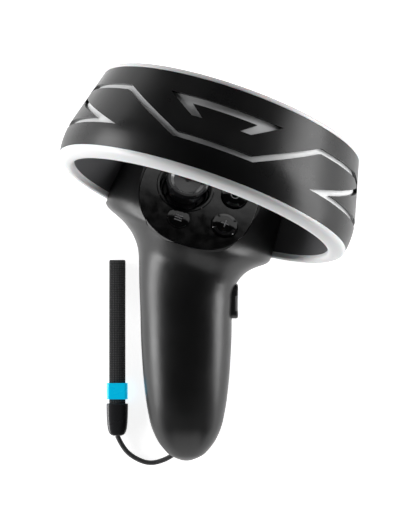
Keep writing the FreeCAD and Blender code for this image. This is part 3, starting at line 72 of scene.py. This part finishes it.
class Look:
    """A node material under construction."""

    def __init__(self, name, colour, roughness, metallic=0.0):
        self.material = bpy.data.materials.new(name)
        self.material.use_nodes = True
        self.tree = self.material.node_tree
        self.nodes = self.tree.nodes
        self.shader = self.nodes["Principled BSDF"]
        self.shader.inputs["Base Color"].default_value = (*colour, 1.0)
        self.shader.inputs["Roughness"].default_value = roughness
        self.shader.inputs["Metallic"].default_value = metallic
        self.place = self.nodes.new("ShaderNodeTexCoord").outputs["Object"]

    def set(self, **values):
        """Set constants on the shader's own sockets."""
        for name, number in values.items():
            self.shader.inputs[name.replace("_", " ")].default_value = number
        return self

    def link(self, source, target):
        self.tree.links.new(source, target)

    def noise(self, scale, detail=3.0, stretch=None):
        node = self.nodes.new("ShaderNodeTexNoise")
        node.inputs["Scale"].default_value = scale
        node.inputs["Detail"].default_value = detail
        place = self.place
        if stretch:
            mapping = self.nodes.new("ShaderNodeMapping")
            mapping.inputs["Scale"].default_value = stretch
            self.link(place, mapping.inputs["Vector"])
            place = mapping.outputs["Vector"]
        self.link(place, node.inputs["Vector"])
        return node.outputs["Fac"]

    def wave(self, direction, scale, profile="SIN"):
        node = self.nodes.new("ShaderNodeTexWave")
        node.wave_type = "BANDS"
        node.bands_direction = direction
        node.wave_profile = profile
        node.inputs["Scale"].default_value = scale
        node.inputs["Distortion"].default_value = 0.0
        self.link(self.place, node.inputs["Vector"])
        return node.outputs["Fac"]

    def combine(self, operation, first, second):
        """A Math node: the second value may be a socket or a plain number."""
        node = self.nodes.new("ShaderNodeMath")
        node.operation = operation
        self.link(first, node.inputs[0])
        if isinstance(second, (int, float)):
            node.inputs[1].default_value = second
        else:
            self.link(second, node.inputs[1])
        return node.outputs[0]

    def ramp(self, source, low, high, from_low=0.35, from_high=0.65):
        node = self.nodes.new("ShaderNodeMapRange")
        node.inputs["From Min"].default_value = from_low
        node.inputs["From Max"].default_value = from_high
        node.inputs["To Min"].default_value = low
        node.inputs["To Max"].default_value = high
        self.link(source, node.inputs["Value"])
        return node.outputs["Result"]

    def rough(self, source, low, high):
        self.link(self.ramp(source, low, high), self.shader.inputs["Roughness"])
        return self

    def tint(self, source, first, second):
        node = self.nodes.new("ShaderNodeMix")
        node.data_type = "RGBA"
        node.inputs["A"].default_value = (*first, 1.0)
        node.inputs["B"].default_value = (*second, 1.0)
        self.link(self.ramp(source, 0.0, 1.0), node.inputs["Factor"])
        self.link(node.outputs["Result"], self.shader.inputs["Base Color"])
        return self

    def bump(self, source, strength, distance):
        """Add a bump on top of any bump that is already there."""
        node = self.nodes.new("ShaderNodeBump")
        node.inputs["Strength"].default_value = strength
        node.inputs["Distance"].default_value = distance
        self.link(source, node.inputs["Height"])
        normal = self.shader.inputs["Normal"]
        if normal.is_linked:
            self.link(normal.links[0].from_socket, node.inputs["Normal"])
        self.link(node.outputs["Normal"], normal)
        return self


def grained(name, colour, roughness, grain=0.25, scale=5200.0):
    """Moulded plastic with a fine spark texture and slightly uneven sheen."""
    look = Look(name, colour, roughness)
    look.rough(look.noise(70.0, 4.0), roughness - 0.035, roughness + 0.035)
    look.bump(look.noise(scale, 2.0), grain, 0.00003)
    return look


def polished(name, colour, roughness):
    """Gloss plastic with the faint waviness of a moulding."""
    look = Look(name, colour, roughness)
    look.rough(look.noise(240.0, 3.0), roughness * 0.7, roughness * 1.4)
    look.bump(look.noise(90.0, 1.0), 0.02, 0.0002)
    return look


def metal(name, colour, roughness):
    """Metal drawn along Y, with fine lines."""
    drawn = (1.0, 14.0, 1.0)
    look = Look(name, colour, roughness, 1.0)
    look.rough(look.noise(900.0, 3.0, drawn), roughness * 0.7, roughness * 1.3)
    look.bump(look.noise(1500.0, 2.0, drawn), 0.08, 0.00002)
    return look


def ring_look():
    look = grained("ring black", (0.006, 0.006, 0.0063), 0.30, 0.12)
    return look.set(Specular_IOR_Level=0.27)


def thumb_cap_look():
    look = grained("thumb cap black", (0.009, 0.009, 0.010), 0.22, 0.1, 3800.0)
    return look.set(Coat_Weight=0.4)


def rim_look():
    look = grained("rim pearl", (0.60, 0.605, 0.61), 0.36, 0.06)
    return look.set(Subsurface_Weight=0.25, Subsurface_Scale=0.002, Coat_Weight=0.1)


def slider_look():
    """Bright translucent plastic with a painted glow: emission in its own cyan that lightens it
    beyond what the lamps give.
    """
    cyan = (0.0, 0.52, 0.83)
    look = grained("slider cyan", cyan, 0.27, 0.08)
    look.set(Subsurface_Weight=0.12, Subsurface_Scale=0.0015, Coat_Weight=0.3)
    # painted glow: emission in the slider's cyan, to lighten it
    return look.set(Emission_Color=(*cyan, 1.0), Emission_Strength=0.5)


def circuit_look():
    look = Look("circuit board", (0.01, 0.09, 0.045), 0.3)
    tracks = look.combine("GREATER_THAN", look.wave("DIAGONAL", 520.0, "TRI"), 0.78)
    look.tint(tracks, (0.008, 0.075, 0.038), (0.014, 0.13, 0.065))
    look.bump(tracks, 0.1, 0.00003)
    return look


def battery_look():
    """A plain metallised wrapper, a little uneven."""
    look = Look("battery wrap", (0.30, 0.32, 0.36), 0.28, 0.6)
    look.rough(look.noise(300.0), 0.22, 0.34)
    look.tint(look.noise(40.0, 1.0), (0.26, 0.28, 0.31), (0.34, 0.36, 0.40))
    return look


def braid_look():
    """A round braid: strands that cross both ways."""
    look = Look("cord braid", (0.018, 0.018, 0.019), 0.62)
    strands = look.combine("MULTIPLY", look.wave("X", 900.0), look.wave("Y", 900.0))
    # painted shade: darker in the dips between the strands, lighter on their crests
    look.tint(strands, (0.010, 0.010, 0.011), (0.032, 0.032, 0.034))
    look.bump(strands, 0.7, 0.00012)
    look.set(Sheen_Weight=0.25)
    return look


def weave_look():
    """Plain-woven webbing: rows of short threads across and along."""
    look = Look("webbing weave", (0.018, 0.018, 0.019), 0.72)
    threads = look.combine("MULTIPLY", look.wave("X", 420.0), look.wave("Y", 300.0))
    fuzz = look.noise(2600.0, 4.0)
    fuzzy_threads = look.combine("ADD", threads, look.combine("MULTIPLY", fuzz, 0.25))
    # painted shade: darker between the threads, lighter on their tops, with the fuzz's random tone
    # on top
    look.tint(fuzzy_threads, (0.008, 0.008, 0.009), (0.034, 0.034, 0.036))
    look.bump(threads, 0.85, 0.00022)
    look.bump(fuzz, 0.25, 0.00006)
    look.set(Sheen_Weight=0.3)
    return look


def table_look():
    look = Look("table white", (0.86, 0.86, 0.86), 0.9)
    look.set(Emission_Color=(1.0, 1.0, 1.0, 1.0), Emission_Strength=0.85)
    return look


LOOKS = {
    "shell": grained("shell black", (0.006, 0.006, 0.0063), 0.34),
    "ring_band": ring_look(),
    "light_guide": grained("light guide grey", (0.66, 0.665, 0.67), 0.36, 0.1).set(Coat_Weight=0.1),
    "rim_strip": rim_look(),
    "gloss_black": polished("piano black", (0.002, 0.002, 0.0022), 0.07),
    "stick_rubber": thumb_cap_look(),
    "trigger": grained("control black", (0.017, 0.017, 0.018), 0.36),
    "inner_plastic": grained("inner plastic", (0.05, 0.05, 0.053), 0.5),
    "metal": metal("plain steel", (0.60, 0.61, 0.62), 0.26),
    "screw": metal("black zinc", (0.10, 0.10, 0.105), 0.34),
    "lamp": polished("lamp lens", (0.62, 0.61, 0.54), 0.12),
    "switch": grained("switch grey", (0.11, 0.11, 0.115), 0.45),
    "chip": grained("chip resin", (0.016, 0.016, 0.018), 0.42),
    "cord_end": grained("cord end black", (0.026, 0.026, 0.028), 0.30, 0.1),
    "slider": slider_look(),
    "circuit_board": circuit_look(),
    "battery": battery_look(),
    "cord": braid_look(),
    "webbing": weave_look(),
}
MARK = grained("mark grey", (0.17, 0.17, 0.175), 0.5, 0.05)
NODE_LOOKS = {
    # painted light: the inner wall is the ring's black, made lighter to stand for light falling
    # inside the ring
    "ring_inner_shell": grained("inner wall painted light black", (0.075, 0.075, 0.078), 0.45, 0.15),
    # painted reflection: the inlay's mid grey stands in for a glint on the glossy black key
    "grip_inlay": grained("key inlay painted reflection grey", (0.20, 0.20, 0.205), 0.4, 0.1),
}


def paint(obj, look):
    obj.data.materials.clear()
    obj.data.materials.append(look.material)


for subpart in frame["record"]["subparts"]:
    node = subpart["node"]
    paint(frame["nodes"][node], NODE_LOOKS.get(node) or LOOKS[subpart["material_slot"]])

# ---------------------------------------------------------------- building pieces


def mesh_piece(name, points, faces, look, smooth=True):
    mesh = bpy.data.meshes.new(name)
    mesh.from_pydata([tuple(p) for p in points], [], faces)
    mesh.validate()
    mesh.update()
    for polygon in mesh.polygons:
        polygon.use_smooth = smooth
    obj = bpy.data.objects.new(name, mesh)
    bpy.context.scene.collection.objects.link(obj)
    paint(obj, look)
    return obj


def between_knots(knots, place):
    """Straight lines between (place, height) pairs."""
    for (start, high), (end, low) in zip(knots, knots[1:]):
        if place <= end:
            return high + (low - high) * (place - start) / (end - start)
    return knots[-1][1]


# ---------------------------------------------------------------- marks on the thumb controls

BUTTON_X, LOWER_Y, UPPER_Y = 14.9, -11.5, 4.1
MENU_X, MENU_Y = -5.1, -15.6
DOME_RADIUS, DOME_RISE = 5.8, 1.9
# height of a button's face at a radius from its middle, as part.py turns it
DOME_KNOTS = [
    (0.0, DOME_RISE),
    (0.4 * DOME_RADIUS, DOME_RISE * 0.95),
    (0.72 * DOME_RADIUS, DOME_RISE * 0.78),
    (0.93 * DOME_RADIUS, 1.1),
    (DOME_RADIUS, 0.7),
]
MENU_KNOTS = [(0.0, 0.45), (1.96, 0.4275), (3.53, 0.351), (4.56, 0.25)]
MARK_LIFT, MARK_DEPTH = 0.035, 0.12
MARK_STEPS = 14


def stroke_mark(name, centre, knots, lines, width, body):
    """Raised print: each line is a thin band that follows the button's face."""
    corners = ((-1, MARK_LIFT), (1, MARK_LIFT), (1, -MARK_DEPTH), (-1, -MARK_DEPTH))
    points, faces = [], []
    for (x0, y0), (x1, y1) in lines:
        run_x, run_y = x1 - x0, y1 - y0
        half_share = width / 2 / math.hypot(run_x, run_y)
        first = len(points)
        for k in range(MARK_STEPS + 1):
            x, y = x0 + run_x * k / MARK_STEPS, y0 + run_y * k / MARK_STEPS
            for side, level in corners:
                px, py = x - side * run_y * half_share, y + side * run_x * half_share
                rise = between_knots(knots, math.hypot(px, py)) + level
                points.append(on_face(centre[0] + px, centre[1] + py, rise))
        for k in range(MARK_STEPS):
            a = first + 4 * k
            for j in range(4):
                faces.append((a + j, a + 4 + j, a + 4 + (j + 1) % 4, a + (j + 1) % 4))
        last = first + 4 * MARK_STEPS
        faces.append((first, first + 1, first + 2, first + 3))
        faces.append((last + 3, last + 2, last + 1, last))
    obj = mesh_piece(name, points, faces, MARK, smooth=False)
    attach(obj, body)
    return obj


def circle_lines(radius, count):
    angles = [2 * math.pi * k / count for k in range(count)]
    corners = [(radius * math.cos(angle), radius * math.sin(angle)) for angle in angles]
    return [(corners[k], corners[(k + 1) % count]) for k in range(count)]


PLUS = [((-1.9, 0.0), (1.9, 0.0)), ((0.0, -1.9), (0.0, 1.9))]
BARS = [((-1.7, y), (1.7, y)) for y in (-1.2, 0.0, 1.2)]
RING = circle_lines(1.7, 20)
stroke_mark("lower_button_mark", (BUTTON_X, LOWER_Y), DOME_KNOTS, PLUS, 0.55, "lower_button")
stroke_mark("upper_button_mark", (BUTTON_X, UPPER_Y), DOME_KNOTS, RING, 0.5, "upper_button")
stroke_mark("menu_button_mark", (MENU_X, MENU_Y), MENU_KNOTS, BARS, 0.5, "menu_button")

# ---------------------------------------------------------------- wrist cord and its end

STRAP_X, STRAP_Z = -31.3, 2.35
CORD_RADIUS = 1.1
CORD_ROUTE = [
    (0.6, 4.2, 4.9),
    (-4.0, 1.2, 2.6),
    (-9.4, -2.6, 1.25),
    (-16.6, -4.6, 1.15),
    (-23.6, -2.0, 1.15),
    (-28.8, 2.6, 1.6),
    (STRAP_X, 8.3, STRAP_Z),
]
END_START, END_LENGTH, END_WIDTH = 8.3, 14.5, 9.75
END_SQUARE = 0.76
# share of the length, of the half width and of the half thickness
END_SECTIONS = [
    (0.0, 0.40, 0.60),
    (0.02, 0.56, 0.70),
    (0.06, 0.70, 0.80),
    (0.12, 0.80, 0.88),
    (0.22, 0.885, 0.94),
    (0.38, 0.945, 0.98),
    (0.6, 0.98, 1.0),
    (0.85, 1.0, 1.0),
    (0.97, 1.0, 1.0),
    (1.0, 0.965, 0.95),
]
# the mouth's lip and floor: share of the last section, and depth in from its end
MOUTH_SECTIONS = [(0.86, 0.0), (0.84, 1.6)]


def end_section(half_width, half_thick, y, around=48):
    """A squarish oval across the strap's line."""
    loop = []
    for k in range(around):
        c, s = math.cos(2 * math.pi * k / around), math.sin(2 * math.pi * k / around)
        x = math.copysign(abs(c) ** END_SQUARE, c) * half_width
        z = math.copysign(abs(s) ** END_SQUARE, s) * half_thick
        loop.append(from_part(STRAP_X + x, y, STRAP_Z + z))
    return loop


def cord_end_mesh():
    """The moulded end: a flat bullet, open at its mouth for the strap."""
    half_width = END_WIDTH / 2
    loops = [
        end_section(half_width * wide, STRAP_Z * thick, END_START + END_LENGTH * along)
        for along, wide, thick in END_SECTIONS
    ]
    _, wide, thick = END_SECTIONS[-1]
    for share, depth in MOUTH_SECTIONS:
        mouth = END_START + END_LENGTH - depth
        loops.append(end_section(half_width * wide * share, STRAP_Z * thick * share, mouth))
    around = len(loops[0])
    faces = []
    for r in range(len(loops) - 1):
        for k in range(around):
            a, b = r * around + k, r * around + (k + 1) % around
            faces.append((a, b, b + around, a + around))
    floor = (len(loops) - 1) * around
    faces.append(tuple(range(around))[::-1])
    faces.append(tuple(floor + k for k in range(around)))
    points = [point for loop in loops for point in loop]
    return mesh_piece("cord_end_bullet", points, faces, LOOKS["cord_end"])


def cord_curve(route):
    curve = bpy.data.curves.new("lanyard_cord_braid", "CURVE")
    curve.dimensions = "3D"
    curve.bevel_depth = CORD_RADIUS * MM
    curve.bevel_resolution = 6
    curve.use_fill_caps = True
    curve.resolution_u = 16
    spline = curve.splines.new("NURBS")
    spline.points.add(len(route) - 1)
    for point, place in zip(spline.points, route):
        point.co = (*place, 1.0)
    spline.order_u = 3
    spline.use_endpoint_u = True
    obj = bpy.data.objects.new("lanyard_cord_braid", curve)
    bpy.context.scene.collection.objects.link(obj)
    paint(obj, LOOKS["cord"])
    return obj


cord_end = cord_end_mesh()
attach(cord_end, "casing")
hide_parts("cord_end")

route = [from_part(*place) for place in CORD_ROUTE]
cord = cord_curve(route)
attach(cord, "casing")
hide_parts("lanyard_cord")

# ---------------------------------------------------------------- webbing

PLY, PLY_GAP, STRAP_HALF = 1.4, 0.05, 3.65
STACK = PLY + PLY_GAP
STRAP_START, STRAP_END = 20.6, 87.7
SETTLE_START, SETTLE_LENGTH = 60.0, 24.0
TABLE_GAP = 0.02
RUN_STEPS, FOLD_STEPS, MID_LINE_STEPS = 90, 12, 40
# side of the strap, and how far the ply's edge is drawn in there
SELVEDGE = [(-1.0, 0.38), (-0.95, 0.12), (-0.86, 0.0), (0.86, 0.0), (0.95, 0.12), (1.0, 0.38)]


def strap_level(y):
    """Height of the strap's middle: level at the slider, lying on the table at its end."""
    settle = min(max((y - SETTLE_START) / SETTLE_LENGTH, 0.0), 1.0)
    drop = STRAP_Z - STACK - TABLE_GAP
    return STRAP_Z - drop * settle * settle * (3 - 2 * settle)


def webbing_line(reach):
    """One face of the doubled strap in side view: along the bottom, round the fold and back."""
    end = STRAP_END - STACK
    stations = [STRAP_START + (end - STRAP_START) * k / RUN_STEPS for k in range(RUN_STEPS + 1)]
    line = [(y, strap_level(y) - reach) for y in stations]
    for k in range(1, FOLD_STEPS):
        angle = -math.pi / 2 + math.pi * k / FOLD_STEPS
        line.append((end + reach * math.cos(angle), strap_level(end) + reach * math.sin(angle)))
    return line + [(y, strap_level(y) + reach) for y in reversed(stations)]


def webbing_rows(near, far):
    """Rows of points along the near face, drawn in towards the far one at the selvedges."""
    points = []
    for side, inset in SELVEDGE:
        for (near_y, near_z), (far_y, far_z) in zip(near, far):
            y, z = near_y + (far_y - near_y) * inset, near_z + (far_z - near_z) * inset
            points.append(from_part(STRAP_X + side * STRAP_HALF, y, z))
    return points


def webbing_mesh():
    """The strap with rounded selvedges."""
    outer, inner = webbing_line(STACK), webbing_line(PLY_GAP)
    points = webbing_rows(outer, inner) + webbing_rows(inner, outer)
    rows, count = len(SELVEDGE), len(outer)
    half = rows * count
    faces = []
    for r in range(rows - 1):
        for k in range(count - 1):
            a, b = r * count + k, (r + 1) * count + k
            faces.append((a, b, b + 1, a + 1))
            faces.append((half + a, half + a + 1, half + b + 1, half + b))
    for r in (0, rows - 1):
        for k in range(count - 1):
            a = r * count + k
            side_face = (a, a + 1, half + a + 1, half + a)
            faces.append(side_face if r == 0 else side_face[::-1])
    for k in (0, count - 1):
        for r in range(rows - 1):
            a, b = r * count + k, (r + 1) * count + k
            end_face = (a, half + a, half + b, b)
            faces.append(end_face if k == 0 else end_face[::-1])
    return mesh_piece("strap_webbing_woven", points, faces, LOOKS["webbing"])


webbing = webbing_mesh()
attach(webbing, "casing")
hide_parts("strap_webbing")

# ---------------------------------------------------------------- stage, lights and camera

TABLE_HALF, TABLE_DROP = 3, 0.0002
WORLD_STRENGTH = 0.02
# place, target and size in metres, then power in watts
LIGHTS = {
    "left_wall": ((-0.9, 0.0, 0.20), (0.0, 0.0, 0.05), (1.2, 0.42), 14.0),
    "right_wall": ((0.9, 0.05, 0.20), (0.0, 0.0, 0.05), (1.2, 0.42), 12.0),
    "front_wall": ((0.0, -0.9, 0.18), (0.0, 0.0, 0.05), (0.7, 0.3), 0.9),
    "back_wall": ((0.3, 0.9, 0.30), (0.0, 0.0, 0.30), (1.2, 0.42), 1.7),
}
CAMERA_OVER = (10.56, 85.8, 0.0)
CAMERA_HEIGHT = 1.2
CAMERA_LENS, CAMERA_SENSOR = 180.8, 36.0


def area_light(name, place, target, size, power):
    data = bpy.data.lights.new(name, "AREA")
    data.shape = "RECTANGLE"
    data.size, data.size_y = size
    data.energy = power
    light = bpy.data.objects.new(name, data)
    light.location = place
    aim = Vector(target) - Vector(place)
    light.rotation_euler = aim.to_track_quat("-Z", "Y").to_euler()
    bpy.context.scene.collection.objects.link(light)


def table_mesh():
    corners = [(-1, -1), (1, -1), (1, 1), (-1, 1)]
    points = [(x * TABLE_HALF, y * TABLE_HALF, 0) for x, y in corners]
    return mesh_piece("table", points, [(0, 1, 2, 3)], table_look(), smooth=False)


table = table_mesh()
table.location.z = -TABLE_DROP

bpy.context.scene.view_settings.view_transform = "Standard"
world = bpy.data.worlds.new("studio")
bpy.context.scene.world = world
world.use_nodes = True
background = world.node_tree.nodes["Background"]
background.inputs["Color"].default_value = (1.0, 1.0, 1.0, 1.0)
background.inputs["Strength"].default_value = WORLD_STRENGTH

for name, (place, target, size, power) in LIGHTS.items():
    area_light(name, place, target, size, power)

# The camera looks straight down at the table.
camera_data = bpy.data.cameras.new("camera")
camera_data.sensor_width = CAMERA_SENSOR
camera_data.lens = CAMERA_LENS
camera = bpy.data.objects.new("camera", camera_data)
camera.location = from_part(*CAMERA_OVER)
camera.location.z = CAMERA_HEIGHT
bpy.context.scene.collection.objects.link(camera)
bpy.context.scene.camera = camera
